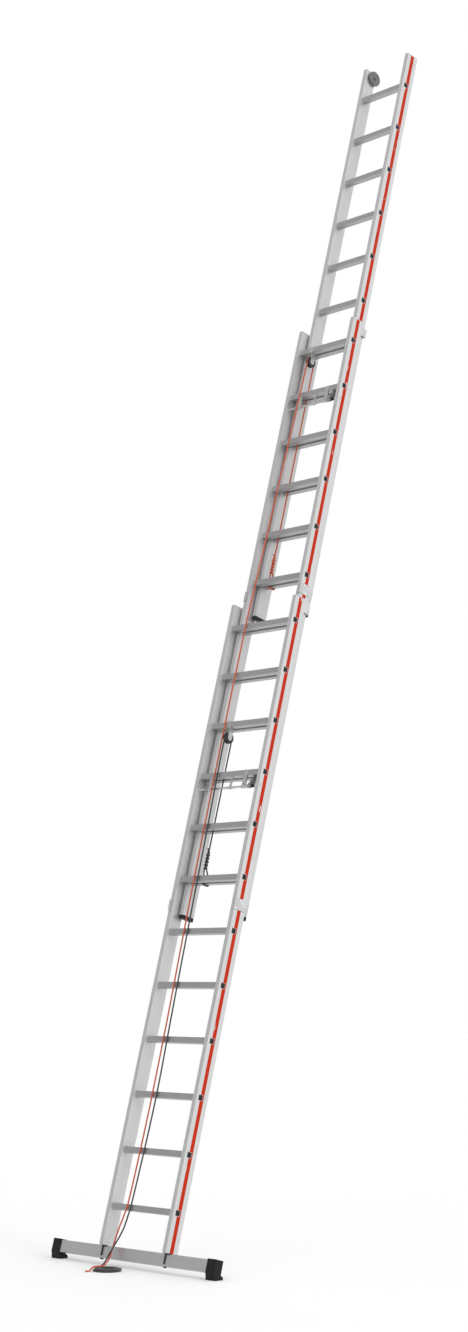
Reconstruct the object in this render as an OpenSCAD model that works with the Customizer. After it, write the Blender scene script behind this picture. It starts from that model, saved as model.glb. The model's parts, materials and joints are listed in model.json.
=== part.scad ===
// Three-section rope-operated extension ladder, leaning at its working angle.
// World frame: +Z up, floor at Z = 0, X along the rungs, the wall is on the +Y side.
// Ladder frame, used inside lean(): X along the rungs, Y from the climbing face towards the wall,
// Z up along the stiles from the axis of the lowest rung.

/* [Ladder] */
// Angle between the stiles and the floor, degrees
lean_angle = 75; // [70:1:78]
// Distance between rung axes
rung_pitch = 280; // [260:5:300]
// Rungs in each section
rung_count = 12; // [10:1:13]
// Rungs shared by two neighbouring sections when fully extended
shared_rungs = 6; // [4:1:7]
// Outside width of the base section
base_width = 490; // [460:5:560]
// How far each section's front lies behind the front of the one before
section_step = 49; // [48:1:52]

/* [Stiles and rungs] */
// Stile thickness along the rungs
stile_x = 25; // [22:1:30]
// Stile depth from climbing face to wall side
stile_y = 78; // [74:1:84]
// Stile wall
stile_wall = 2.5; // [2:0.5:4]
// Gap between the stiles of nested sections
nest_gap = 10; // [9:1:14]
// Side of the square rung tube
rung_side = 30; // [26:1:32]
// Rung wall
rung_wall = 2; // [1.5:0.5:3]
// From a section's front to the front of its rungs
rung_inset = 13; // [11:1:14]
// Base stile below its lowest rung axis
base_drop = 192; // [186:1:220]
// Sliding stiles below their lowest rung axis
fly_drop = 180; // [176:1:184]
// Base and middle stiles above their top rung axis
fly_rise = 130; // [110:2:150]
// Top section's stiles above its top rung axis
top_rise = 202; // [180:2:220]

/* [Crossbar and feet] */
// Crossbar length
bar_len = 1190; // [1000:10:1300]
// Crossbar height along the stiles
bar_z = 60; // [50:2:70]
// Crossbar depth
bar_y = 38; // [32:1:38]
// Crossbar wall
bar_wall = 3; // [2:0.5:4]
// From the base section's front to the crossbar's front
bar_inset = 6; // [5:1:8]
// Rubber under the crossbar's lowest edge
sole_gap = 25; // [20:1:35]
// Length of a foot's sole along the crossbar
sole_x = 66; // [60:2:90]
// Depth of a foot's sole
sole_y = 50; // [46:2:80]

/* [Rope and pulleys] */
// Rope diameter
rope_d = 8; // [6:1:10]
// Pulley outside diameter
wheel_d = 60; // [56:1:62]
// Pulley width
wheel_x = 18; // [16:1:20]
// Pulley axis below the rung axis that carries it
pulley_drop = 70; // [64:1:80]
// Pulley axis behind its section's front
pulley_inset = 29; // [29:1:30]
// Pulley and rope clearance
rope_gap = 0.4; // [0.3:0.1:0.8]

/* [Latches] */
// Latch shaft diameter
shaft_d = 12; // [10:1:14]
// Latch shaft below the rung axis above it
shaft_drop = 75; // [70:1:80]
// Latch shaft behind its section's front
shaft_inset = 16; // [16:1:18]
// Width of one pawl
pawl_x = 20; // [16:1:24]
// Drop from the rung onto a hooked pawl
pawl_gap = 5; // [4:0.5:8]

/* [Wall rollers] */
// Roller diameter
roller_d = 88; // [80:1:94]
// Roller width
roller_x = 14; // [12:1:20]
// Roller axle diameter
roller_axle_d = 12; // [10:1:14]

/* [Hidden] */

$fn = 48;

silver = "#d5d6d6";
grey = "#9a9da0";
black = "#1c1c1e";
red = "#c23a1c";

// Ladder frame to world: the crossbar stands on its soles, its centre over Y = 0
bar_gap = 3;
bar_low = -base_drop - bar_gap - bar_z;
lift = -bar_low * sin(lean_angle) + (bar_inset + bar_y) * cos(lean_angle) + sole_gap;
shift = -(bar_low + bar_z / 2) * cos(lean_angle) - (bar_inset + bar_y / 2) * sin(lean_angle);

// Place of section k: 0 base, 1 middle, 2 top
function half_w(k) = base_width / 2 - k * (stile_x + nest_gap);
function front(k) = k * section_step;
function rung1(k) = k * (rung_count - shared_rungs) * rung_pitch;
function drop(k) = k == 0 ? base_drop : fly_drop;
function rise(k) = k == 2 ? top_rise : fly_rise;
function rung_at(k, i) = rung1(k) + (i - 1) * rung_pitch;
function stile_top(k) = rung_at(k, rung_count) + rise(k);
rung_y = rung_inset + rung_side / 2;

module lean() {
    translate([0, shift, lift]) rotate([lean_angle - 90, 0, 0]) children();
}

// Both sides of the ladder, the second a mirror image
module both_sides() {
    children();
    mirror([1, 0, 0]) children();
}

// ---- sections ----

module stile(k, side) {
    hollow = [stile_x - 2 * stile_wall, stile_y - 2 * stile_wall];
    color(silver) lean() mirror([side < 0 ? 1 : 0, 0, 0]) difference() {
        translate([half_w(k) - stile_x, front(k), rung1(k) - drop(k)])
            linear_extrude(drop(k) + stile_top(k) - rung1(k)) difference() {
                square([stile_x, stile_y]);
                translate([stile_wall, stile_wall]) square(hollow);
            }
        for (i = [1:rung_count])
            translate([half_w(k) - stile_x - 1, front(k) + rung_inset, rung_at(k, i) - rung_side / 2])
                cube([stile_x + 2, rung_side, rung_side]);
        if (k < 2) shaft_line(k) cylinder(d = shaft_d + 0.1, h = 2 * half_w(k) + 20, center = true);
        if (k == 2) roller_line() cylinder(d = roller_axle_d, h = 2 * half_w(k) + 20, center = true);
    }
}

module rungs(k) {
    color(grey) lean() for (i = [1:rung_count])
        translate([-half_w(k), front(k) + rung_inset, rung_at(k, i) - rung_side / 2]) difference() {
            cube([2 * half_w(k), rung_side, rung_side]);
            translate([-1, rung_wall, rung_wall])
                cube([2 * half_w(k) + 2, rung_side - 2 * rung_wall, rung_side - 2 * rung_wall]);
        }
}

plug_depth = 12;
plug_recess = 0.6;

module rung_plugs(k) {
    inner = rung_side - 2 * rung_wall;
    color(black) lean() both_sides() for (i = [1:rung_count])
        translate([half_w(k) - plug_recess - plug_depth, front(k) + rung_y - inner / 2,
            rung_at(k, i) - inner / 2]) cube([plug_depth, inner, inner]);
}

// Black plug under each sliding stile, pressed into its hollow
plug_thk = 20;
plug_tongue = 30;

module bottom_plugs(k) {
    tongue_x = stile_x - 2 * stile_wall - 0.2;
    tongue_y = stile_y - 2 * stile_wall - 0.2;
    color(black) lean() both_sides() translate([half_w(k) - stile_x / 2, front(k) + stile_y / 2,
        rung1(k) - fly_drop]) {
        translate([-stile_x / 2, -stile_y / 2, -plug_thk]) cube([stile_x, stile_y, plug_thk]);
        translate([-tongue_x / 2, -tongue_y / 2, -1]) cube([tongue_x, tongue_y, plug_tongue]);
    }
}

// Lid pressed into each stile's top end
lid_thk = 3;
lid_tongue = 18;

module top_caps(k) {
    tongue_x = stile_x - 2 * stile_wall - 0.2;
    tongue_y = stile_y - 2 * stile_wall - 0.2;
    color(grey) lean() both_sides()
        translate([half_w(k) - stile_x / 2, front(k) + stile_y / 2, stile_top(k)]) {
            translate([-stile_x / 2, -stile_y / 2, 0]) cube([stile_x, stile_y, lid_thk]);
            translate([-tongue_x / 2, -tongue_y / 2, -lid_tongue])
                cube([tongue_x, tongue_y, lid_tongue + 1]);
        }
}

// ---- guides that keep the sections together ----

guide_len = 58;
guide_clear = 1;
guide_plate = 2;
guide_link = 3;
lip_x = 20;

// Guide at the foot of section k, wrapping section k - 1's stile from behind to its front
module lower_guides(k) {
    outer = half_w(k - 1) + guide_clear + guide_plate;
    near = front(k - 1) - guide_clear - guide_link;
    behind = front(k - 1) + stile_y + guide_clear;
    start = rung1(k) - fly_drop + 8 + (k - 1) * (guide_len + 2);
    color(grey) lean() both_sides() translate([0, 0, start]) linear_extrude(guide_len) {
        translate([half_w(k), behind]) square([outer - half_w(k), guide_link]);
        translate([half_w(k), behind]) square([guide_link, front(k) + stile_y - behind - 2]);
        translate([outer - guide_plate, near]) square([guide_plate, behind + guide_link - near]);
        translate([outer - lip_x, near]) square([lip_x, guide_link]);
    }
}

// Guide at the head of section k, reaching behind section k + 1's stile
upper_len = 48;
upper_plate = 4;
upper_rear = 6;
upper_lip = 4;
pad_x = 2.4;
pad_start = 75;
upper_low = 58;

module upper_guides(k) {
    inner = half_w(k) - stile_x;
    rear = front(k + 1) + stile_y + upper_rear;
    color(grey) lean() both_sides() translate([0, 0, stile_top(k) - upper_low])
        linear_extrude(upper_len) {
            translate([inner - upper_plate, front(k) + 60]) square([upper_plate, rear - front(k) - 60]);
            translate([inner - 28, rear]) square([28, upper_lip]);
        }
}

module guide_pads(k) {
    inner = half_w(k) - stile_x - upper_plate;
    color(black) lean() both_sides() translate([inner - pad_x, front(k) + pad_start,
        stile_top(k) - upper_low + 6])
        cube([pad_x, front(k + 1) + stile_y - front(k) - pad_start - 2, upper_len - 12]);
}

screw_d = 9;
screw_h = 2;

// Screw heads on the inner faces: two near each stile's foot, two on each upper guide
module screws(k) {
    inner = half_w(k) - stile_x;
    color(silver) lean() both_sides() {
        for (z = k == 0 ? [16, 46] : [55, 140]) translate([inner - screw_h,
            front(k) + (k == 0 ? stile_y / 2 : 60), rung1(k) - drop(k) + z])
            rotate([0, 90, 0]) cylinder(d = screw_d, h = screw_h);
        if (k < 2) for (z = [12, upper_len - 12]) translate([inner - upper_plate - screw_h,
            front(k) + 67, stile_top(k) - upper_low + z])
            rotate([0, 90, 0]) cylinder(d = screw_d, h = screw_h);
    }
}

// ---- foot of the ladder ----

block_len = 70;

module foot_blocks() {
    tongue_x = stile_x - 2 * stile_wall - 0.2;
    tongue_y = stile_y - 2 * stile_wall - 0.2;
    color(grey) lean() both_sides() difference() {
        union() {
            translate([half_w(0) - stile_x, bar_inset, -base_drop - bar_gap])
                cube([stile_x, bar_y, bar_gap]);
            translate([half_w(0) - stile_x / 2 - tongue_x / 2, stile_y / 2 - tongue_y / 2,
                -base_drop - 0.01]) cube([tongue_x, tongue_y, block_len]);
        }
        bar_bolt_line() cylinder(d = bolt_d, h = 400, center = true);
    }
}

bolt_d = 10;
bolt_head = 17;
bolt_head_h = 6;

module bar_bolt_line() {
    translate([half_w(0) - stile_x / 2, bar_inset + bar_y / 2, bar_low]) children();
}

module crossbar() {
    color(grey) lean() difference() {
        translate([-bar_len / 2, bar_inset, bar_low]) cube([bar_len, bar_y, bar_z]);
        translate([-bar_len / 2 - 1, bar_inset + bar_wall, bar_low + bar_wall])
            cube([bar_len + 2, bar_y - 2 * bar_wall, bar_z - 2 * bar_wall]);
        both_sides() bar_bolt_line() cylinder(d = bolt_d, h = 400, center = true);
    }
}

module crossbar_bolts() {
    color(black) lean() both_sides() bar_bolt_line() {
        translate([0, 0, -bolt_head_h]) cylinder(d = bolt_head, h = bolt_head_h, $fn = 6);
        translate([0, 0, -1]) cylinder(d = bolt_d, h = bar_z + bar_gap + 40);
    }
}

// Bent hook in front of the crossbar under each stile
hook_d = 7;
hook_arm = 30;

module crossbar_hooks() {
    reach = hook_d / 2 + 0.2;
    hook_up = bar_z + bar_gap - 11 - hook_d / 2;
    color(black) lean() for (x = [-217, 245]) translate([x, bar_inset - reach, bar_low + 10]) {
        cylinder(d = hook_d, h = hook_up, $fn = 24);
        translate([0, 0, hook_up]) sphere(d = hook_d, $fn = 24);
        translate([0, 0, hook_up]) rotate([0, 90, 0]) cylinder(d = hook_d, h = hook_arm, $fn = 24);
    }
}

foot_wall = 4;
foot_grip = 60;
sole_thk = 12;
tread = 3;

module foot_right() {
    end_x = bar_len / 2 + foot_wall;
    color(black) difference() {
        union() {
            lean() translate([end_x - foot_grip, bar_inset - foot_wall, bar_low - foot_wall])
                cube([foot_grip, bar_y + 2 * foot_wall, bar_z + 2 * foot_wall]);
            hull() {
                translate([end_x - sole_x + 3, -sole_y / 2, 0]) cube([sole_x, sole_y, sole_thk]);
                lean() translate([end_x - foot_grip + 1, bar_inset - foot_wall + 1, bar_low - foot_wall + 1])
                    cube([foot_grip - 2, bar_y + 2 * foot_wall - 2, foot_wall - 2]);
            }
        }
        lean() translate([-1, bar_inset, bar_low]) cube([bar_len / 2 + 1, bar_y, bar_z]);
        for (i = [0:3]) translate([end_x - sole_x + 12 + i * 15, -sole_y, -1])
            cube([6, 2 * sole_y, tread + 1]);
    }
}

module foot_left() {
    mirror([1, 0, 0]) foot_right();
}

// ---- pulleys ----

rope_r = rope_d / 2;
pitch_r = wheel_d / 2 - 4.6;
axle_d = 10;
strap = 2.5;
cheek = 3;
pulley_x = [-89, -99];
pulley_rung = [10, 12];

function pulley_z(k) = rung_at(k, pulley_rung[k]) - pulley_drop;
function pulley_y(k) = front(k) + pulley_inset;

module pulley_line(k) {
    translate([pulley_x[k], pulley_y(k), pulley_z(k)]) rotate([0, 90, 0]) children();
}

module pulley_wheel(k) {
    root = pitch_r - rope_r - rope_gap;
    color(black) lean() pulley_line(k) rotate_extrude($fn = 64)
        polygon([[axle_d / 2 + 0.05, -wheel_x / 2], [wheel_d / 2 - 1, -wheel_x / 2],
            [wheel_d / 2, -wheel_x / 2 + 1], [wheel_d / 2, -wheel_x / 2 + 2.5], [root + 3, -rope_r - 1],
            [root, -2.5], [root, 2.5], [root + 3, rope_r + 1], [wheel_d / 2, wheel_x / 2 - 2.5],
            [wheel_d / 2, wheel_x / 2 - 1], [wheel_d / 2 - 1, wheel_x / 2],
            [axle_d / 2 + 0.05, wheel_x / 2]]);
}

module pulley_axle(k) {
    grip = wheel_x / 2 + 1 + cheek;
    color(silver) lean() pulley_line(k) {
        cylinder(d = axle_d, h = 2 * grip, center = true);
        for (z = [-grip - 2, grip]) translate([0, 0, z]) cylinder(d = 15, h = 2);
    }
}

module pulley_bracket(k) {
    inside = wheel_x / 2 + 1;
    y0 = front(k) + rung_inset;
    z0 = rung_at(k, pulley_rung[k]) - rung_side / 2;
    color(silver) lean() translate([pulley_x[k], 0, 0]) difference() {
        union() {
            translate([-inside - cheek, y0 - strap, z0 - strap])
                cube([2 * (inside + cheek), rung_side + 2 * strap, rung_side + 2 * strap]);
            for (x = [-inside - cheek, inside]) {
                translate([x, y0 + 1, pulley_z(k)]) cube([cheek, rung_side - 2, z0 - pulley_z(k)]);
                translate([x, pulley_y(k), pulley_z(k)]) rotate([0, 90, 0])
                    cylinder(d = rung_side - 2, h = cheek);
            }
        }
        translate([-100, y0, z0]) cube([200, rung_side, rung_side]);
        translate([0, pulley_y(k), pulley_z(k)]) rotate([0, 90, 0])
            cylinder(d = axle_d, h = 100, center = true);
    }
}

// ---- latches ----

latch_rung = [9, 11];
boss_d = 22;
hanger_x = [[-137, 19, 118], [-102, 12, 96]];
hanger_w = [20, 12, 28];
spring_wire = 2.6;

function shaft_z(k) = rung_at(k, latch_rung[k]) - shaft_drop;

// Centre line of section k's latch shaft, as the local Z axis
module shaft_line(k) {
    translate([0, front(k) + shaft_inset, shaft_z(k)]) rotate([0, 90, 0]) children();
}

module latch_shaft(k) {
    color(silver) lean() shaft_line(k) {
        cylinder(d = shaft_d, h = 2 * half_w(k) + 1, center = true);
        for (z = [-half_w(k) - 2.6, half_w(k) + 0.3]) translate([0, 0, z]) cylinder(d = 16, h = 2.3);
    }
}

pawl_wall_gap = 35;
pawl_swing = 9;
pawl_clear = 1.5;

// One pawl's outline, swung up clear of the next section's rungs. Swung back by pawl_swing its
// nose lies under one; on the way it just passes the rung's lower front edge.
module pawl_outline() {
    seat = rung_side / 2 + pawl_gap;
    tip = section_step + rung_inset;
    reach = norm([tip - shaft_inset, shaft_drop - rung_side / 2]) - 0.6;
    nose = shaft_inset + sqrt(pow(reach, 2) - pow(shaft_drop - seat, 2));
    difference() {
        translate([shaft_inset, -shaft_drop]) rotate(pawl_swing) translate([-shaft_inset, shaft_drop])
            polygon([[shaft_inset - 7, -shaft_drop + 8], [shaft_inset + 8, -shaft_drop - 7],
                [nose - 3, -seat - 20], [nose, -seat - 12], [nose, -seat], [nose - 14, -seat],
                [nose - 24, -seat - 9]]);
        translate([tip - pawl_clear, -shaft_drop]) square(2 * shaft_drop);
        translate([rung_inset - 50, -rung_side / 2 - pawl_clear])
            square([rung_side + 50 + pawl_clear, 2 * rung_side]);
    }
}

module latch_pawls(k) {
    px = half_w(k + 1) - stile_x - pawl_wall_gap;
    color(grey) lean() both_sides() translate([px, front(k), rung_at(k, latch_rung[k])])
        rotate([90, 0, 90]) linear_extrude(pawl_x) difference() {
            union() {
                translate([shaft_inset, -shaft_drop]) circle(d = boss_d);
                pawl_outline();
            }
            translate([shaft_inset, -shaft_drop]) circle(d = shaft_d);
        }
}

strap_thk = 2;

// Hangers from the latch rung down to the shaft; the widest one also runs up the rung's front
module latch_hangers(k) {
    color(silver) lean() for (i = [0:2]) translate([hanger_x[k][i] - hanger_w[i] / 2, front(k),
        rung_at(k, latch_rung[k])]) rotate([90, 0, 90]) linear_extrude(hanger_w[i]) difference() {
            union() {
                translate([shaft_inset, -shaft_drop]) circle(d = shaft_d + 7);
                translate([shaft_inset - 3, -shaft_drop]) square([6, shaft_drop - rung_side / 2]);
                if (i == 2) {
                    translate([rung_inset - strap_thk, -rung_side / 2 - 12])
                        square([strap_thk, rung_side + 12]);
                    translate([rung_inset - strap_thk, -rung_side / 2 - 12]) square([5, 12]);
                }
            }
            translate([shaft_inset, -shaft_drop]) circle(d = shaft_d + 0.2);
        }
}

module latch_spring(k) {
    px = half_w(k + 1) - stile_x - 8;
    color(black) lean() shaft_line(k) translate([0, 0, px]) difference() {
        cylinder(d = shaft_d + 0.6 + 2 * spring_wire, h = 24);
        translate([0, 0, -1]) cylinder(d = shaft_d + 0.6, h = 26);
    }
}

// ---- wall rollers ----

roller_inset = 61;
roller_up = 168;
roller_gap = 3;

module roller_line() {
    translate([0, front(2) + roller_inset, rung_at(2, rung_count) + roller_up])
        rotate([0, 90, 0]) children();
}

module wall_roller_right() {
    x0 = half_w(2) - stile_x - roller_gap - roller_x;
    color(grey) lean() roller_line() translate([0, 0, x0]) rotate_extrude($fn = 96)
        polygon([[roller_axle_d / 2 + 0.05, 0], [roller_d / 2 - 3, 0], [roller_d / 2, 3],
            [roller_d / 2, roller_x - 3], [roller_d / 2 - 3, roller_x],
            [roller_axle_d / 2 + 0.05, roller_x]]);
}

module wall_roller_left() {
    mirror([1, 0, 0]) wall_roller_right();
}

module roller_axles() {
    inner = half_w(2) - stile_x - roller_gap - roller_x;
    color(silver) lean() both_sides() roller_line() {
        translate([0, 0, inner - 3]) cylinder(d = roller_axle_d, h = half_w(2) - inner + 3);
        translate([0, 0, inner - 5]) cylinder(d = 17, h = 4, $fn = 6);
        translate([0, 0, half_w(2)]) cylinder(d = 18, h = 3);
    }
}

module roller_spacers() {
    color(black) lean() both_sides() roller_line()
        translate([0, 0, half_w(2) - stile_x - roller_gap + 0.5]) difference() {
            cylinder(d = 22, h = roller_gap - 0.5);
            translate([0, 0, -1]) cylinder(d = roller_axle_d, h = 30);
        }
}

// ---- ropes: routes in the ladder frame, points chosen by hand ----

coil_at = [-10, -160];
coil_out = 74;
coil_in = 24;

// A point on the floor, h above it, in the ladder frame
function on_floor(x, y, h) = [x,
    (y - shift) * sin(lean_angle) - (h - lift) * cos(lean_angle),
    (y - shift) * cos(lean_angle) + (h - lift) * sin(lean_angle)];

black_route = [on_floor(-82, -150, 5), on_floor(-112, -120, 7), on_floor(-118, -88, 24),
    on_floor(-108, -62, 70), [-92, -2, -120], [-80, 4, -40], [-74, 7, 40], [-60, 7, 350],
    [-56, 7, 620], [-66, 7, 1000], [-76, 7, 1500], [-84, 6, 2000], [-89, 4.2, 2300],
    [-89, 3.6, 2420]];
red_route = [on_floor(-52, -264, 4), on_floor(-40, -248, 5), on_floor(-42, -222, 21),
    on_floor(-45, -165, 21), on_floor(-66, -128, 21), on_floor(-100, -95, 25),
    on_floor(-112, -62, 46), [-122, -3, -120], [-110, 4, -40], [-100, 7, 40], [-90, 7, 350],
    [-88, 7, 620], [-92, 7, 1000], [-103, 7, 1500],
    [-108, 6, 2000], [-109, 5, 2400], [-109, 5, 2700]];
red_span_route = [[-109, 5, 2700], [-108.5, 6.4, 2920], [-108, 7.4, 3110], [-106, 19.5, 3500],
    [-102, 40, 4200], [-99, 51, 4600], [-99, 52.6, 4660]];

function unit(v) = v / norm(v);
// A point between b and c of a smooth curve through a, b, c and d
function between(a, b, c, d, u) = 0.5 * (2 * b + (c - a) * u + (2 * a - 5 * b + 4 * c - d) * u * u
    + (3 * b - a - 3 * c + d) * u * u * u);
function smooth(p, steps) = let (last = len(p) - 1) [for (i = [0:last - 1]) for (j = [0:steps - 1])
    between(p[max(i - 1, 0)], p[i], p[i + 1], p[min(i + 2, last)], j / steps), p[last]];
// Arc over a pulley from its front to its rear
function over_wheel(k, steps) = [for (i = [0:steps]) let (a = 180 - 180 * i / steps)
    [pulley_x[k], pulley_y(k) + pitch_r * cos(a), pulley_z(k) + pitch_r * sin(a)]];

module tube(path, d, sides = 8) {
    n = len(path);
    way = [for (i = [0:n - 1]) unit(path[min(i + 1, n - 1)] - path[max(i - 1, 0)])];
    rings = [for (i = [0:n - 1]) let (u = unit(cross(way[i], [1, 0.02, 0.01])), v = cross(way[i], u))
        for (j = [0:sides - 1]) path[i] + d / 2 * (u * cos(j * 360 / sides) + v * sin(j * 360 / sides))];
    walls = [for (i = [0:n - 2]) for (j = [0:sides - 1]) let (a = i * sides + j,
        b = i * sides + (j + 1) % sides) [a, b, b + sides, a + sides]];
    polyhedron(rings, concat(walls, [[for (j = [sides - 1:-1:0]) j]],
        [[for (j = [0:sides - 1]) (n - 1) * sides + j]]), convexity = 10);
}

module black_rope() {
    color(black) lean() tube(concat(smooth(black_route, 3), over_wheel(0, 12)), rope_d);
}

module black_hoist() {
    start = [pulley_x[0], pulley_y(0) + pitch_r, pulley_z(0) - 1];
    color(black) lean() tube([start, [start.x, start.y, rung1(1) + knot_top]], rope_d);
}

module red_rope() {
    color(red) lean() tube(smooth(red_route, 3), rope_d);
}

module red_span() {
    color(red) lean() tube(smooth(red_span_route, 2), rope_d);
}

module red_wrap() {
    color(red) lean() tube(concat([[pulley_x[1], pulley_y(1) - pitch_r, pulley_z(1) - 29.5]],
        over_wheel(1, 12)), rope_d);
}

module red_hoist() {
    start = [pulley_x[1], pulley_y(1) + pitch_r, pulley_z(1) - 1];
    color(red) lean() tube([start, [start.x, start.y, rung1(2) + knot_top]], rope_d);
}

knot_r = 5.5;
knot_low = 8;
knot_top = 160;

// Loop round section k's lowest rung, with its knot where the hoisting rope arrives
module knot(k) {
    loop_r = norm([rung_side, rung_side]) / 2 + rope_gap + rope_r;
    translate([pulley_x[k - 1], 0, 0]) {
        translate([0, front(k) + rung_y, rung1(k)]) rotate([0, 90, 0]) rotate_extrude()
            translate([loop_r, 0]) circle(d = rope_d, $fn = 24);
        translate([0, pulley_y(k - 1) + pitch_r, rung1(k) + knot_low])
            cylinder(r = knot_r, h = knot_top - knot_low);
    }
}

module black_knot() {
    color(black) lean() knot(1);
}

module red_knot() {
    color(red) lean() knot(2);
}

module rope_coil() {
    color(black) translate([coil_at.x, coil_at.y, 0]) rotate_extrude($fn = 64)
        polygon([[coil_in, 2], [coil_in + 2, 0], [coil_out - 3, 0], [coil_out, 3], [coil_out, 7],
            [coil_out - 6, 16], [coil_in + 8, 16], [coil_in, 8]]);
}

stile(0, -1);  // base_stile_left
stile(0, 1);  // base_stile_right
rungs(0);  // base_rungs
rung_plugs(0);  // base_rung_plugs
foot_blocks();  // base_foot_blocks
crossbar();
crossbar_bolts();
crossbar_hooks();
foot_left();
foot_right();
top_caps(0);  // base_top_caps
upper_guides(0);  // base_upper_guides
guide_pads(0);  // base_guide_pads
screws(0);  // base_screws
pulley_bracket(0);  // lower_pulley_bracket
pulley_axle(0);  // lower_pulley_axle
latch_hangers(0);  // lower_latch_hangers
rope_coil();
black_rope();
red_rope();
red_span();
stile(1, -1);  // middle_stile_left
stile(1, 1);  // middle_stile_right
rungs(1);  // middle_rungs
rung_plugs(1);  // middle_rung_plugs
bottom_plugs(1);  // middle_bottom_plugs
lower_guides(1);  // middle_lower_guides
top_caps(1);  // middle_top_caps
upper_guides(1);  // middle_upper_guides
guide_pads(1);  // middle_guide_pads
screws(1);  // middle_screws
pulley_bracket(1);  // upper_pulley_bracket
pulley_axle(1);  // upper_pulley_axle
latch_hangers(1);  // upper_latch_hangers
black_hoist();
black_knot();
red_wrap();
stile(2, -1);  // top_stile_left
stile(2, 1);  // top_stile_right
rungs(2);  // top_rungs
rung_plugs(2);  // top_rung_plugs
bottom_plugs(2);  // top_bottom_plugs
lower_guides(2);  // top_lower_guides
top_caps(2);  // top_end_caps
screws(2);  // top_screws
roller_axles();
roller_spacers();
red_hoist();
red_knot();
pulley_wheel(0);  // lower_pulley_wheel
pulley_wheel(1);  // upper_pulley_wheel
latch_shaft(0);  // lower_latch_shaft
latch_pawls(0);  // lower_latch_pawls
latch_spring(0);  // lower_latch_spring
latch_shaft(1);  // upper_latch_shaft
latch_pawls(1);  // upper_latch_pawls
latch_spring(1);  // upper_latch_spring
wall_roller_left();
wall_roller_right();
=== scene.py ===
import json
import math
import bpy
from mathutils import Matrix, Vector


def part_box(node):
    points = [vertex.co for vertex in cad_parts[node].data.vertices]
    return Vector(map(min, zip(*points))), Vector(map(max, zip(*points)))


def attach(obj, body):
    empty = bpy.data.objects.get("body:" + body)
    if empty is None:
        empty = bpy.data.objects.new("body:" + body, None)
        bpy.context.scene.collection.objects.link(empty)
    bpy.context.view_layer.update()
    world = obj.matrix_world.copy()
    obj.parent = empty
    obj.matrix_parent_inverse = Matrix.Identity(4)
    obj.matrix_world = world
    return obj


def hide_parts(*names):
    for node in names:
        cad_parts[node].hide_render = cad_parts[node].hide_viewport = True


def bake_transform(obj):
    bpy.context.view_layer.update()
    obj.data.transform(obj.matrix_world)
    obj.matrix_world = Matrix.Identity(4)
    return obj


bl_info = {
    "name": "Extension Ladder",
    "version": (1, 0, 0),
    "blender": (4, 5, 0),
    "location": "View3D > Sidebar > Ladder",
    "description": "Ropes, springs and finishes of a rope-operated extension ladder",
    "category": "Object",
}

import bpy
import numpy as np
from bpy.props import FloatProperty, FloatVectorProperty, PointerProperty
from mathutils import Matrix, Vector

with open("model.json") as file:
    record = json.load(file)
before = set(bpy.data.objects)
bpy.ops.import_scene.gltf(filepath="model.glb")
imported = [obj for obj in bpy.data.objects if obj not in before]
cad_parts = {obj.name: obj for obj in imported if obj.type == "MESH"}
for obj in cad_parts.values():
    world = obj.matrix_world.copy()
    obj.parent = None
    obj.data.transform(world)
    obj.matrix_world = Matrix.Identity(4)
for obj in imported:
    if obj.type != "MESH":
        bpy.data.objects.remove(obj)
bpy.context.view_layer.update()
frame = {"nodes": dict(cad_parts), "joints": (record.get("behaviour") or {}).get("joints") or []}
JOINTS = {j["name"]: j for j in frame["joints"]}

# Ladder frame: X along the rungs, T from the climbing face to the wall, S up the stiles from the
# axis of the lowest rung. Its origin in the world follows from the lower pulley's axle.
UP = np.array(JOINTS["middle_slide"]["axis"], float)
BACK = np.array([0.0, UP[2], -UP[1]])
TILT = math.asin(UP[1])
PITCH = 0.280
SECTION_STEP = 0.049
HALF_WIDTHS = (0.245, 0.210, 0.175)
STRIPE_AT = 0.038
STRIPE_HALF = 0.0120
RUNG_CENTRE = 0.028
RUNG_HALF = 0.015
RIB_SPACING = 0.0028
FLY_RUNG = (0.0, 6 * PITCH, 12 * PITCH)
PULLEY_X = (-0.089, -0.099)
PULLEY_T = (0.029, 0.078)
PULLEY_S = (9 * PITCH - 0.070, 17 * PITCH - 0.070)
PITCH_RADIUS = 0.0254
ORIGIN = np.array(JOINTS["lower_pulley_spin"]["pos_m"]) - np.array(
    [PULLEY_X[0], 0.0, 0.0]
) - PULLEY_T[0] * BACK - PULLEY_S[0] * UP

# Rope routes in metres, as the part's source has them, without the black one's point at its coil: a
# ROUTE is in the ladder frame, and a FLOOR, the stretch just above or on the ground, is in the world
BLACK_ROUTE = (
    (-0.092, -0.002, -0.120), (-0.080, 0.004, -0.040), (-0.074, 0.007, 0.040),
    (-0.060, 0.007, 0.350), (-0.056, 0.007, 0.620), (-0.066, 0.007, 1.000),
    (-0.076, 0.007, 1.500), (-0.084, 0.006, 2.000), (-0.089, 0.0042, 2.300),
    (-0.089, 0.0036, 2.420),
)
BLACK_FLOOR = ((-0.112, -0.120, 0.007), (-0.118, -0.088, 0.024), (-0.108, -0.062, 0.070))
RED_FLOOR = (
    (-0.052, -0.264, 0.004), (-0.040, -0.248, 0.005), (-0.042, -0.222, 0.021),
    (-0.045, -0.165, 0.021), (-0.066, -0.128, 0.021), (-0.100, -0.095, 0.025),
    (-0.112, -0.062, 0.046),
)
RED_ROUTE = (
    (-0.122, -0.003, -0.120), (-0.110, 0.004, -0.040), (-0.100, 0.007, 0.040),
    (-0.090, 0.007, 0.350), (-0.088, 0.007, 0.620), (-0.092, 0.007, 1.000),
    (-0.103, 0.007, 1.500), (-0.108, 0.006, 2.000), (-0.109, 0.005, 2.400),
    (-0.109, 0.005, 2.700), (-0.1085, 0.0064, 2.920), (-0.108, 0.0074, 3.110),
    (-0.106, 0.0195, 3.500), (-0.102, 0.040, 4.200), (-0.099, 0.051, 4.600),
    (-0.099, 0.0526, 4.660),
)
COIL_CENTRE = (-0.010, -0.160)
COIL_START = math.radians(165)
TURN_STEPS = 40
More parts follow.
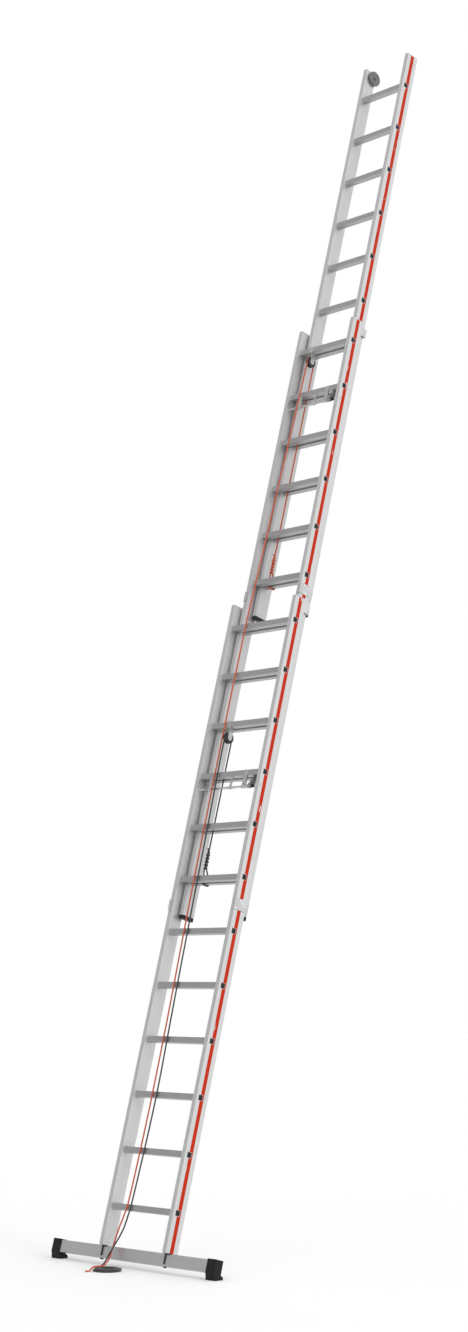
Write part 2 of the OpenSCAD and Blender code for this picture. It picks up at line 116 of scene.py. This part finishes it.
PATH_STEP = 0.006

# Eye splices, above the rung's axis
EYE_TOP = 0.150
SPLICE_LOW = 0.060
EYE_GAP = 0.0008
TUCK_TURNS = 2.5
SPRING_TURNS = 8

# Camera and floor in the world
CAMERA_PLACE = (8.4244, -7.3254, 1.3690)
CAMERA_RIGHT = (0.6859, 0.7277, 0.0042)
CAMERA_AHEAD = (-0.7212, 0.6790, 0.1374)
CAMERA_SHIFT = (0.0047, 0.0045)
FLOOR_HALF = 40.0


class LadderSizes(bpy.types.PropertyGroup):
    rope_diameter: FloatProperty(
        name="Rope diameter", description="Diameter of both ropes", default=0.008, unit="LENGTH")
    braid_length: FloatProperty(
        name="Braid length", description="Length of one braid repeat", default=0.014, unit="LENGTH")
    coil_radius: FloatProperty(
        name="Coil radius", description="Outermost turn's centre line", default=0.0695, unit="LENGTH")
    coil_hole: FloatProperty(
        name="Coil hole", description="Innermost turn's centre line", default=0.029, unit="LENGTH")
    wire: FloatProperty(
        name="Spring wire", description="Wire of the latch springs", default=0.0024, unit="LENGTH")
    lens: FloatProperty(
        name="Lens", description="Camera's focal length in millimetres", default=60.66)


def colour(name, value):
    """A colour setting with a plain description."""
    return FloatVectorProperty(
        name=name, description=name + " of the finish", subtype="COLOR", default=value, min=0, max=1)


class LadderColours(bpy.types.PropertyGroup):
    stile: colour("Stile aluminium", (0.60, 0.60, 0.602))
    rung: colour("Rung aluminium", (0.44, 0.443, 0.447))
    bar: colour("Crossbar aluminium", (0.56, 0.565, 0.57))
    stripe: colour("Stripe", (0.41, 0.022, 0.004))
    fitting: colour("Cast fitting", (0.50, 0.505, 0.51))
    black: colour("Black plastic", (0.009, 0.009, 0.0095))
    rubber: colour("Rubber", (0.010, 0.010, 0.0105))
    zinc: colour("Zinc plate", (0.62, 0.62, 0.60))
    roller: colour("Roller", (0.11, 0.115, 0.12))
    red_rope: colour("Red rope", (0.72, 0.10, 0.025))
    black_rope: colour("Black rope", (0.030, 0.032, 0.033))


# ---- places and meshes ----


def ladder(points):
    """World points of points given in the ladder frame: origin plus x, t and s along its axes."""
    p = np.asarray(points, float)
    return ORIGIN + p[:, :1] * np.array([1.0, 0, 0]) + p[:, 1:2] * BACK + p[:, 2:3] * UP


def smooth(points, step):
    """A Catmull-Rom curve through the points, sampled about every step metres: between b and c the
    cubic (2b + (c-a)u + (2a-5b+4c-d)u^2 + (3b-a-3c+d)u^3) / 2, then evened out by arc length."""
    p = np.asarray(points, float)
    p = np.vstack([2 * p[0] - p[1], p, 2 * p[-1] - p[-2]])
    u = np.linspace(0, 1, 24, endpoint=False)[None, :, None]
    a, b, c, d = (p[i:len(p) - 3 + i, None, :] for i in range(4))
    fine = 0.5 * (2 * b + (c - a) * u + (2 * a - 5 * b + 4 * c - d) * u ** 2
                  + (3 * b - a - 3 * c + d) * u ** 3)
    fine = np.vstack([fine.reshape(-1, 3), p[-2]])
    along = np.concatenate([[0], np.cumsum(np.linalg.norm(np.diff(fine, axis=0), axis=1))])
    even = np.linspace(0, along[-1], max(3, int(along[-1] / step) + 1))
    return np.stack([np.interp(even, along, fine[:, i]) for i in range(3)], axis=1)


def over_wheel(k, steps=24):
    """Half circle over pulley k from its front to its rear: centre plus radius times (cos, sin)."""
    turn = np.linspace(math.pi, 0, steps)
    return ladder(np.stack([
        np.full(steps, PULLEY_X[k]),
        PULLEY_T[k] + PITCH_RADIUS * np.cos(turn),
        PULLEY_S[k] + PITCH_RADIUS * np.sin(turn),
    ], axis=1))


def mesh_object(name, verts, faces, uv=None):
    """A smooth-shaded mesh from an array of vertices, a list of faces and, per face corner, UV."""
    mesh = bpy.data.meshes.new(name)
    mesh.from_pydata(np.asarray(verts, float).tolist(), [], faces)
    if uv is not None:
        mesh.uv_layers.new(name="UVMap").data.foreach_set("uv", np.asarray(uv, np.float32).ravel())
    mesh.polygons.foreach_set("use_smooth", np.ones(len(mesh.polygons), bool))
    mesh.update()
    made = bpy.data.objects.new(name, mesh)
    bpy.context.scene.collection.objects.link(made)
    return made


def tube_arrays(path, radius, sides=12, closed_radius=None):
    """A round tube along the path: ring i is path[i] plus radius times (cos a, sin a) on two axes
    carried along the path by the smallest turn. U goes once round, V is the length along in metres.
    The first and last rings draw in to closed_radius, so that the ends look cut and whipped."""
    path = np.asarray(path, float)
    way = np.gradient(path, axis=0)
    way /= np.linalg.norm(way, axis=1)[:, None]
    side = np.cross(way[0], [0.31, 0.22, 0.92])
    side /= np.linalg.norm(side)
    sides_axis = [side]
    for a in way[1:]:
        side = side - a * (a @ side)
        side = side / np.linalg.norm(side)
        sides_axis.append(side)
    first = np.array(sides_axis)
    second = np.cross(way, first)
    turn = np.arange(sides) * 2 * math.pi / sides
    size = np.full(len(path), radius)
    if closed_radius is not None:
        size[0] = size[-1] = closed_radius
    ring = (np.cos(turn)[None, :, None] * first[:, None, :]
            + np.sin(turn)[None, :, None] * second[:, None, :])
    verts = (path[:, None, :] + size[:, None, None] * ring).reshape(-1, 3)
    i, j = np.meshgrid(np.arange(len(path) - 1), np.arange(sides), indexing="ij")
    here, there = i * sides + j, i * sides + (j + 1) % sides
    quads = np.stack([here, there, there + sides, here + sides], axis=-1).reshape(-1, 4)
    along = np.concatenate([[0], np.cumsum(np.linalg.norm(np.diff(path, axis=0), axis=1))])
    u0, u1 = j / sides, (j + 1) / sides
    v0, v1 = along[i], along[i + 1]
    uv = np.stack([np.stack(c, -1) for c in ((u0, v0), (u1, v0), (u1, v1), (u0, v1))], axis=2)
    return verts, quads, uv.reshape(-1, 4, 2)


def tube(name, path, radius, sides=12):
    """One tube, closed by a single many-sided face at each end."""
    verts, quads, uv = tube_arrays(path, radius, sides, closed_radius=radius * 0.8)
    last = len(verts) - sides
    faces = quads.tolist() + [list(range(sides - 1, -1, -1)), list(range(last, last + sides))]
    flat = [uv.reshape(-1, 2), np.full((2 * sides, 2), 0.01)]
    return mesh_object(name, verts, faces, np.vstack(flat))


# ---- finishes ----


class Finish:
    """A node material under construction: one Principled shader and short calls that add nodes."""

    def __init__(self, name, base, metallic, roughness):
        self.material = bpy.data.materials.new(name)
        self.material.use_nodes = True
        self.tree = self.material.node_tree
        self.shader = self.tree.nodes["Principled BSDF"]
        self.base = (*base, 1.0)
        self.shader.inputs["Base Color"].default_value = self.base
        self.shader.inputs["Metallic"].default_value = metallic
        self.shader.inputs["Roughness"].default_value = roughness

    def node(self, kind, **values):
        made = self.tree.nodes.new(kind)
        for key, value in values.items():
            setattr(made, key, value)
        return made

    def link(self, out, socket):
        self.tree.links.new(out, socket)

    def ladder_place(self):
        """Object coordinates turned into the ladder frame."""
        coords = self.node("ShaderNodeTexCoord")
        mapping = self.node("ShaderNodeMapping")
        turn = Matrix.Rotation(TILT, 3, "X")
        mapping.inputs["Rotation"].default_value = (TILT, 0, 0)
        mapping.inputs["Location"].default_value = -(turn @ Vector(ORIGIN))
        self.link(coords.outputs["Object"], mapping.inputs["Vector"])
        return mapping.outputs["Vector"]

    def noise(self, vector, scale, stretch=(1, 1, 1), detail=4):
        """Noise on the vector after stretching it along its axes."""
        mapping = self.node("ShaderNodeMapping")
        mapping.inputs["Scale"].default_value = stretch
        self.link(vector, mapping.inputs["Vector"])
        made = self.node("ShaderNodeTexNoise")
        made.inputs["Scale"].default_value = scale
        made.inputs["Detail"].default_value = detail
        self.link(mapping.outputs["Vector"], made.inputs["Vector"])
        return made.outputs["Fac"]

    def math(self, operation, *values):
        made = self.node("ShaderNodeMath", operation=operation)
        for socket, value in zip(made.inputs, values):
            if isinstance(value, (int, float)):
                socket.default_value = value
            else:
                self.link(value, socket)
        return made.outputs[0]

    def ramp(self, fac, low, high, a=0.3, b=0.7):
        """Maps fac from a..b to low..high."""
        made = self.node("ShaderNodeMapRange")
        made.inputs["From Min"].default_value = a
        made.inputs["From Max"].default_value = b
        made.inputs["To Min"].default_value = low
        made.inputs["To Max"].default_value = high
        self.link(fac, made.inputs["Value"])
        return made.outputs["Result"]

    def mix(self, fac, one, two):
        """Colour one where fac is 0, two where it is 1."""
        made = self.node("ShaderNodeMix", data_type="RGBA")
        self.link(fac, made.inputs["Factor"])
        for socket, value in ((made.inputs[6], one), (made.inputs[7], two)):
            if isinstance(value, tuple):
                socket.default_value = value
            else:
                self.link(value, socket)
        return made.outputs[2]

    def shade(self, fac, amount):
        """The base colour, darker by amount where fac is low."""
        dark = tuple(c * (1 - amount) for c in self.base[:3]) + (1.0,)
        return self.mix(fac, dark, self.base)

    def colour(self, socket):
        self.link(socket, self.shader.inputs["Base Color"])

    def roughness(self, socket):
        self.link(socket, self.shader.inputs["Roughness"])

    def bump(self, height, distance, strength=0.5):
        made = self.node("ShaderNodeBump")
        made.inputs["Strength"].default_value = strength
        made.inputs["Distance"].default_value = distance
        self.link(height, made.inputs["Height"])
        self.link(made.outputs["Normal"], self.shader.inputs["Normal"])


def extruded(name, base, metallic, roughness, along, k=None, stripe=None):
    """Extruded aluminium: die lines along one ladder axis, faint stains and rub marks, and on a
    stile of section k the printed stripe down the middle of its outer face."""
    f = Finish(name, base, metallic, roughness)
    place = f.ladder_place()
    stretch = tuple(0.012 if i == along else 1.0 for i in range(3))
    lines = f.noise(place, 900, stretch, 3)
    wide = f.noise(place, 160, stretch, 2)
    stain = f.noise(place, 9, (1, 1, 0.35), 5)
    worn = f.math("ADD", f.math("MULTIPLY", lines, 0.45), f.math("MULTIPLY", wide, 0.55))
    tone = f.shade(f.ramp(f.math("MULTIPLY", worn, f.ramp(stain, 0.85, 1.0)), 0, 1, 0.25, 0.7), 0.13)
    f.roughness(f.ramp(worn, roughness - 0.07, roughness + 0.09))
    if k is not None:
        split = f.node("ShaderNodeSeparateXYZ")
        f.link(place, split.inputs[0])
        outer = f.math("COMPARE", f.math("ABSOLUTE", split.outputs[0]), HALF_WIDTHS[k], 0.0006)
        middle = f.math("COMPARE", split.outputs[1], k * SECTION_STEP + STRIPE_AT, STRIPE_HALF)
        edge_wear = f.ramp(f.noise(place, 60, (1, 1, 0.2), 6), 0.0, 1.0, 0.28, 0.34)
        mask = f.math("MULTIPLY", f.math("MULTIPLY", outer, middle), edge_wear)
        tone = f.mix(mask, tone, (*stripe, 1.0))
        bare = f.math("SUBTRACT", 1, mask)
        f.link(f.math("MULTIPLY", bare, metallic), f.shader.inputs["Metallic"])
        f.link(f.math("MULTIPLY_ADD", bare, 0.42, 0.08), f.shader.inputs["Specular IOR Level"])
    f.colour(tone)
    f.bump(worn, 0.00012, 0.35)
    return f.material


def tread(name, base, metallic, roughness):
    """Rung aluminium: fine ribs along the rung, with painted shade darkening the grooves between them."""
    f = Finish(name, base, metallic, roughness)
    place = f.ladder_place()
    split = f.node("ShaderNodeSeparateXYZ")
    f.link(place, split.inputs[0])
    across = f.math("ADD", split.outputs[1], split.outputs[2])
    rib = f.math("ABSOLUTE", f.math("SINE", f.math("MULTIPLY", across, math.pi / RIB_SPACING)))
    lines = f.noise(place, 700, (0.012, 1, 1), 3)
    stain = f.noise(place, 14, (0.5, 1, 1), 5)
    # Where the ribs dip into grooves the colour is darker: painted groove shade; the die lines and stains
    # are the metal's own tone.
    ribs_lines_and_groove_shade = f.math("ADD", f.math("MULTIPLY", f.math("POWER", rib, 0.6), 0.5),
                   f.math("MULTIPLY", lines, 0.5))
    f.colour(f.shade(f.ramp(f.math("MULTIPLY", ribs_lines_and_groove_shade, f.ramp(stain, 0.8, 1)), 0, 1, 0.2, 0.75), 0.22))
    f.roughness(f.ramp(lines, roughness - 0.06, roughness + 0.1))
    f.bump(ribs_lines_and_groove_shade, 0.0004, 0.6)
    return f.material


def moulded(name, base, roughness, grain=1600, metallic=0.0, depth=0.0002, patch=30, shine=0.5):
    """Cast or moulded surface: fine grain, larger mottling, and paler rubbed spots."""
    f = Finish(name, base, metallic, roughness)
    f.shader.inputs["Specular IOR Level"].default_value = shine
    place = f.ladder_place()
    fine = f.noise(place, grain, detail=2)
    broad = f.noise(place, patch, detail=6)
    both = f.math("ADD", f.math("MULTIPLY", fine, 0.5), f.math("MULTIPLY", broad, 0.5))
    pale = tuple(min(1.0, c * 1.25 + 0.004) for c in base) + (1.0,)
    f.colour(f.mix(f.ramp(broad, 0, 1, 0.5, 0.75), f.shade(f.ramp(fine, 0, 1), 0.2), pale))
    f.roughness(f.ramp(both, roughness - 0.08, roughness + 0.1))
    f.bump(both, depth, 0.5)
    return f.material


def braided(name, base, repeat):
    """Braided rope: two families of strands winding opposite ways, the product of their sines, with
    shaded gaps and single fibres, all on the tube's own UV map."""
    f = Finish(name, base, 0.0, 0.72)
    f.shader.inputs["Sheen Weight"].default_value = 0.25
    uv = f.node("ShaderNodeUVMap", uv_map="UVMap")
    split = f.node("ShaderNodeSeparateXYZ")
    f.link(uv.outputs["UV"], split.inputs[0])
    turns = f.math("MULTIPLY", split.outputs[0], 4 * 2 * math.pi)
    run = f.math("MULTIPLY", split.outputs[1], 2 * math.pi / repeat)
    one = f.math("SINE", f.math("ADD", turns, run))
    two = f.math("SINE", f.math("SUBTRACT", turns, run))
    weave = f.ramp(f.math("MULTIPLY", one, two), 0, 1, -0.9, 0.6)
    fibre = f.noise(uv.outputs["UV"], 1.0, (60, 2600, 1), 3)
    f.colour(f.mix(f.math("MULTIPLY", weave, f.ramp(fibre, 0.75, 1.0)),
                   tuple(c * 0.35 for c in base) + (1.0,), f.base))
    f.bump(f.math("ADD", weave, f.math("MULTIPLY", fibre, 0.3)), 0.0009, 0.8)
    return f.material


def paint(node, material):
    """Gives a CAD node its finish in every slot."""
    mesh = frame["nodes"][node].data
    mesh.materials.clear()
    mesh.materials.append(material)


# ---- operators ----


class LADDER_OT_stage(bpy.types.Operator):
    """Camera, soft studio light and a pale floor"""

    bl_idname = "ladder.stage"
    bl_label = "Stage"

    def execute(self, context):
        sizes = context.scene.ladder_sizes
        data = bpy.data.cameras.new("camera")
        data.lens = sizes.lens
        data.sensor_width = 36
        data.shift_x, data.shift_y = CAMERA_SHIFT
        data.clip_end = 200
        camera = bpy.data.objects.new("camera", data)
        right, ahead = np.array(CAMERA_RIGHT), np.array(CAMERA_AHEAD)
        right /= np.linalg.norm(right)
        ahead -= right * (right @ ahead)
        ahead /= np.linalg.norm(ahead)
        up = np.cross(right, ahead)
        place = np.eye(4)
        place[:3, 0], place[:3, 1], place[:3, 2] = right, up, -ahead
        place[:3, 3] = CAMERA_PLACE
        camera.matrix_world = Matrix(place.tolist())
        context.scene.collection.objects.link(camera)
        context.scene.camera = camera

        self.light(context, "key", (9.0, 1.0, 7.0), 1.2, 0.5)
        self.light(context, "fill", (1.5, -8.0, 6.0), 0.35, 0.7)
        self.world(context)

        corners = FLOOR_HALF * np.array([(-1, -1, 0), (1, -1, 0), (1, 1, 0), (-1, 1, 0)])
        floor = mesh_object("floor", corners, [(0, 1, 2, 3)])
        f = Finish("pale_floor", (0.92, 0.92, 0.92), 0.0, 0.8)
        floor.data.materials.append(f.material)
        context.scene.view_settings.view_transform = "Standard"
        return {"FINISHED"}

    def light(self, context, name, source, strength, angle):
        """A sun from source towards the ladder, softened by its angle in radians."""
        data = bpy.data.lights.new(name, "SUN")
        data.energy = strength
        data.angle = angle
        made = bpy.data.objects.new(name, data)
        made.location = source
        away = Matrix.Translation((0, 0.8, 3)).translation - made.location
        made.rotation_euler = away.to_track_quat("-Z", "Y").to_euler()
        context.scene.collection.objects.link(made)

    def world(self, context):
        """A pale surround, dimmer towards the ladder's front left: a ramp on the direction."""
        world = bpy.data.worlds.new("surround")
        world.use_nodes = True
        context.scene.world = world
        tree = world.node_tree
        coords = tree.nodes.new("ShaderNodeTexCoord")
        dot = tree.nodes.new("ShaderNodeVectorMath")
        dot.operation = "DOT_PRODUCT"
        dot.inputs[1].default_value = (0.72, 0.69, 0.0)
        ramp = tree.nodes.new("ShaderNodeMapRange")
        ramp.inputs["From Min"].default_value = -0.9
        ramp.inputs["From Max"].default_value = -0.15
        ramp.inputs["To Min"].default_value = 0.5
        ramp.inputs["To Max"].default_value = 1.0
        tree.links.new(coords.outputs["Generated"], dot.inputs[0])
        tree.links.new(dot.outputs["Value"], ramp.inputs["Value"])
        back = tree.nodes["Background"]
        tree.links.new(ramp.outputs["Result"], back.inputs["Strength"])
        back.inputs["Color"].default_value = (1, 1, 1, 1)


class LADDER_OT_black_rope(bpy.types.Operator):
    """Black rope: over the lower pulley, down the front of the base section and into its floor coil"""

    bl_idname = "ladder.black_rope"
    bl_label = "Black rope"

    def execute(self, context):
        sizes = context.scene.ladder_sizes
        radius = sizes.rope_diameter / 2
        coil = self.coil(sizes)
        points = np.vstack([ladder(BLACK_ROUTE[::-1]), np.array(BLACK_FLOOR)[::-1], coil[:3]])
        path = np.vstack([over_wheel(0)[::-1], smooth(points, PATH_STEP)[1:], coil[3:]])
        rope = tube("black_rope_run", path, radius)
        rope.data.materials.append(
            braided("black_braid", context.scene.ladder_colours.black_rope, sizes.braid_length))
        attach(rope, "base_section")
        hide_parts("black_rope", "rope_coil")
        return {"FINISHED"}

    def coil(self, sizes):
        """Two layers: radius falls steadily with the turn on the floor, then grows again on top, just
        under one rope diameter higher."""
        gap = sizes.rope_diameter * 1.04
        turns = (sizes.coil_radius - sizes.coil_hole) / gap
        a = np.arange(0, turns, 1 / TURN_STEPS)
        b = np.arange(0, turns - 1, 1 / TURN_STEPS)
        r = np.concatenate([sizes.coil_radius - gap * a, sizes.coil_hole + gap * (b + 0.45)])
        turn = COIL_START + 2 * math.pi * np.concatenate([a, turns + b])
        ease = np.clip(b / 0.35, 0, 1)
        low, high = sizes.rope_diameter * 0.54, sizes.rope_diameter * 1.46
        z = np.concatenate([np.full(len(a), low), low + (high - low) * ease * ease * (3 - 2 * ease)])
        return np.stack([COIL_CENTRE[0] + r * np.cos(turn), COIL_CENTRE[1] + r * np.sin(turn), z], axis=1)


class LADDER_OT_red_rope(bpy.types.Operator):
    """Red rope: from the upper pulley down the front of both lower sections to its end on the floor"""

    bl_idname = "ladder.red_rope"
    bl_label = "Red rope"

    def execute(self, context):
        sizes = context.scene.ladder_sizes
        tangent = ladder([(PULLEY_X[1], PULLEY_T[1] - PITCH_RADIUS, PULLEY_S[1])])
        points = np.vstack([tangent, ladder(RED_ROUTE[::-1]), np.array(RED_FLOOR)[::-1]])
        path = smooth(points, PATH_STEP)
        rope = tube("red_rope_run", path, sizes.rope_diameter / 2)
        rope.data.materials.append(
            braided("red_braid", context.scene.ladder_colours.red_rope, sizes.braid_length))
        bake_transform(rope)
        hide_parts("red_rope", "red_span")
        return {"FINISHED"}


class LADDER_OT_hoists(bpy.types.Operator):
    """Hoisting runs of both ropes behind the pulleys, and the eyes tied round the lowest rungs"""

    bl_idname = "ladder.hoists"
    bl_label = "Hoists and eyes"

    def execute(self, context):
        sizes = context.scene.ladder_sizes
        red, black = bpy.data.materials["red_braid"], bpy.data.materials["black_braid"]
        self.hoist(sizes, 0, "black", black, "base_section", "middle_section", ("black_hoist",))
        self.hoist(sizes, 1, "red", red, "middle_section", "top_section", ("red_wrap", "red_hoist"))
        return {"FINISHED"}

    def hoist(self, sizes, k, name, material, upper, lower, nodes):
        radius = sizes.rope_diameter / 2
        eye = self.eye(k, name + "_eye", radius)
        eye.data.materials.append(material)
        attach(eye, lower)
        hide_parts(name + "_knot")
        x, t = PULLEY_X[k], PULLEY_T[k] + PITCH_RADIUS
        start = ladder([(x, t, PULLEY_S[k])])[0]
        end = ladder([(x, t, FLY_RUNG[k + 1] + SPLICE_LOW)])[0]
        path = smooth(np.linspace(start, end, 9), PATH_STEP)
        if k == 1:
            path = np.vstack([over_wheel(1), path[1:]])
        run = tube(name + "_hoist_run", path, radius)
        run.data.materials.append(material)
        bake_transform(run)
        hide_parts(*nodes)

    def eye(self, k, name, radius):
        """An eye splice. The rope's loop round the rung is a rounded square of exponent 6; above it
        its two ends wind round the standing rope as helices half a turn apart, then spread out."""
        x, t = PULLEY_X[k], PULLEY_T[k] + PITCH_RADIUS
        rung_t, rung_s = (k + 1) * SECTION_STEP + RUNG_CENTRE, FLY_RUNG[k + 1]
        reach = RUNG_HALF + radius + EYE_GAP
        turn = np.linspace(math.radians(160), math.radians(380), 40)
        spread = reach / (np.abs(np.cos(turn)) ** 6 + np.abs(np.sin(turn)) ** 6) ** (1 / 6)
        side = np.linspace(-1, 1, 40) * radius * 0.6
        loop = np.stack([x + side, rung_t + spread * np.cos(turn), rung_s + spread * np.sin(turn)],
                        axis=1)
        rise = np.linspace(0, 1, 60)[1:]
        ends = []
        for way in (-1, 1):
            wind = 2 * math.pi * TUCK_TURNS * rise + (math.pi if way < 0 else 0)
            off = radius * 1.7
            strand = np.stack([x + off * np.cos(wind), t + off * np.sin(wind),
                               rung_s + SPLICE_LOW + (EYE_TOP - SPLICE_LOW) * rise], axis=1)
            tip = strand[-1]
            ends.append(np.vstack([strand, [tip + [way * 0.006, -0.003, 0.008],
                                            tip + [way * 0.013, -0.006, 0.022]]]))
        path = np.vstack([ends[0][::-1], loop[2:-2:3], ends[1]])
        return tube(name, smooth(ladder(path), 0.003), radius)


class LADDER_OT_springs(bpy.types.Operator):
    """Torsion springs on the latch shafts"""

    bl_idname = "ladder.springs"
    bl_label = "Latch springs"

    def execute(self, context):
        sizes = context.scene.ladder_sizes
        material = moulded("spring_wire", context.scene.ladder_colours.black, 0.35, metallic=0.6)
        for name in ("lower", "upper"):
            low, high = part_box(name + "_latch_spring")
            centre = np.array(JOINTS[name + "_latch_swing"]["pos_m"])
            u = np.linspace(0, 1, SPRING_TURNS * 20)
            outer = (high.z - low.z) / 2 - sizes.wire / 2
            wind = u * SPRING_TURNS * 2 * math.pi
            helix = np.stack([
                low.x + sizes.wire / 2 + (high.x - low.x - sizes.wire) * u,
                centre[1] + outer * np.cos(wind),
                centre[2] + outer * np.sin(wind),
            ], axis=1)
            arm = helix[-1] + np.array([[0.0, 0.004, 0.006], [0.0, 0.008, 0.018]])
            spring = tube(name + "_spring_coil", np.vstack([helix, arm]), sizes.wire / 2, 8)
            spring.data.materials.append(material)
            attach(spring, name + "_latch")
            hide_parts(name + "_latch_spring")
        return {"FINISHED"}


class LADDER_OT_finishes(bpy.types.Operator):
    """Finishes on the frame's own parts"""

    bl_idname = "ladder.finishes"
    bl_label = "Finishes"

    def execute(self, context):
        c = context.scene.ladder_colours
        for k, section in enumerate(("base", "middle", "top")):
            stile = extruded(section + "_stile_finish", c.stile, 0.55, 0.36, 2, k, tuple(c.stripe))
            for side in ("left", "right"):
                paint(f"{section}_stile_{side}", stile)
        rung = tread("rung_finish", c.rung, 0.75, 0.38)
        bar = extruded("bar_finish", c.bar, 0.75, 0.34, 0)
        cast = moulded("cast_finish", c.fitting, 0.5, metallic=0.4)
        black = moulded("plastic_finish", c.black, 0.45, shine=0.25)
        zinc = moulded("zinc_finish", c.zinc, 0.32, metallic=0.9, depth=0.00005)
        groups = {
            rung: ("base_rungs", "middle_rungs", "top_rungs"),
            bar: ("crossbar", "base_foot_blocks"),
            cast: ("base_top_caps", "middle_top_caps", "top_end_caps", "base_upper_guides",
                   "middle_upper_guides", "middle_lower_guides", "top_lower_guides"),
            black: ("base_rung_plugs", "middle_rung_plugs", "top_rung_plugs", "middle_bottom_plugs",
                    "top_bottom_plugs", "base_guide_pads", "middle_guide_pads", "roller_spacers"),
            zinc: ("base_screws", "middle_screws", "top_screws",
                   "lower_pulley_bracket", "lower_pulley_axle",
                   "upper_pulley_bracket", "upper_pulley_axle",
                   "lower_latch_hangers", "upper_latch_hangers",
                   "lower_latch_shaft", "upper_latch_shaft"),
            self.bolts(c.zinc): ("roller_axles",),
            moulded("rubber_finish", c.rubber, 0.62, grain=900, depth=0.0004, patch=18, shine=0.2): (
                "foot_left", "foot_right"),
            moulded("hook_finish", c.black, 0.3, metallic=0.5): ("crossbar_hooks", "crossbar_bolts"),
            moulded("pulley_finish", c.black, 0.36): ("lower_pulley_wheel", "upper_pulley_wheel"),
            moulded("pawl_finish", (0.34, 0.345, 0.35), 0.42, metallic=0.6): (
                "lower_latch_pawls", "upper_latch_pawls"),
            moulded("roller_finish", c.roller, 0.5, grain=1100): (
                "wall_roller_left", "wall_roller_right"),
        }
        for material, nodes in groups.items():
            for node in nodes:
                paint(node, material)
        return {"FINISHED"}

    def bolts(self, outer):
        """Dark steel inside the stiles, zinc on the heads outside them."""
        f = Finish("bolt_finish", (0.16, 0.16, 0.165), 0.6, 0.4)
        place = f.ladder_place()
        split = f.node("ShaderNodeSeparateXYZ")
        f.link(place, split.inputs[0])
        head = f.math("GREATER_THAN", f.math("ABSOLUTE", split.outputs[0]), HALF_WIDTHS[2] - 0.001)
        grain = f.noise(place, 900)
        f.colour(f.mix(head, f.shade(grain, 0.3), (*outer, 1.0)))
        f.roughness(f.ramp(grain, 0.3, 0.5))
        return f.material


class LADDER_PT_panel(bpy.types.Panel):
    """Lists the ladder's operators"""

    bl_label = "Ladder"
    bl_idname = "LADDER_PT_panel"
    bl_space_type = "VIEW_3D"
    bl_region_type = "UI"
    bl_category = "Ladder"

    def draw(self, context):
        for operator in OPERATORS:
            self.layout.operator(operator.bl_idname)


OPERATORS = (
    LADDER_OT_stage,
    LADDER_OT_black_rope,
    LADDER_OT_red_rope,
    LADDER_OT_hoists,
    LADDER_OT_springs,
    LADDER_OT_finishes,
)
CLASSES = (LadderSizes, LadderColours, *OPERATORS, LADDER_PT_panel)


def register():
    for item in CLASSES:
        bpy.utils.register_class(item)
    bpy.types.Scene.ladder_sizes = PointerProperty(type=LadderSizes)
    bpy.types.Scene.ladder_colours = PointerProperty(type=LadderColours)


def unregister():
    del bpy.types.Scene.ladder_sizes
    del bpy.types.Scene.ladder_colours
    for item in reversed(CLASSES):
        bpy.utils.unregister_class(item)


def main():
    register()
    bpy.ops.ladder.stage()
    bpy.ops.ladder.black_rope()
    bpy.ops.ladder.red_rope()
    bpy.ops.ladder.hoists()
    bpy.ops.ladder.springs()
    bpy.ops.ladder.finishes()


if __name__ == "__main__":
    main()
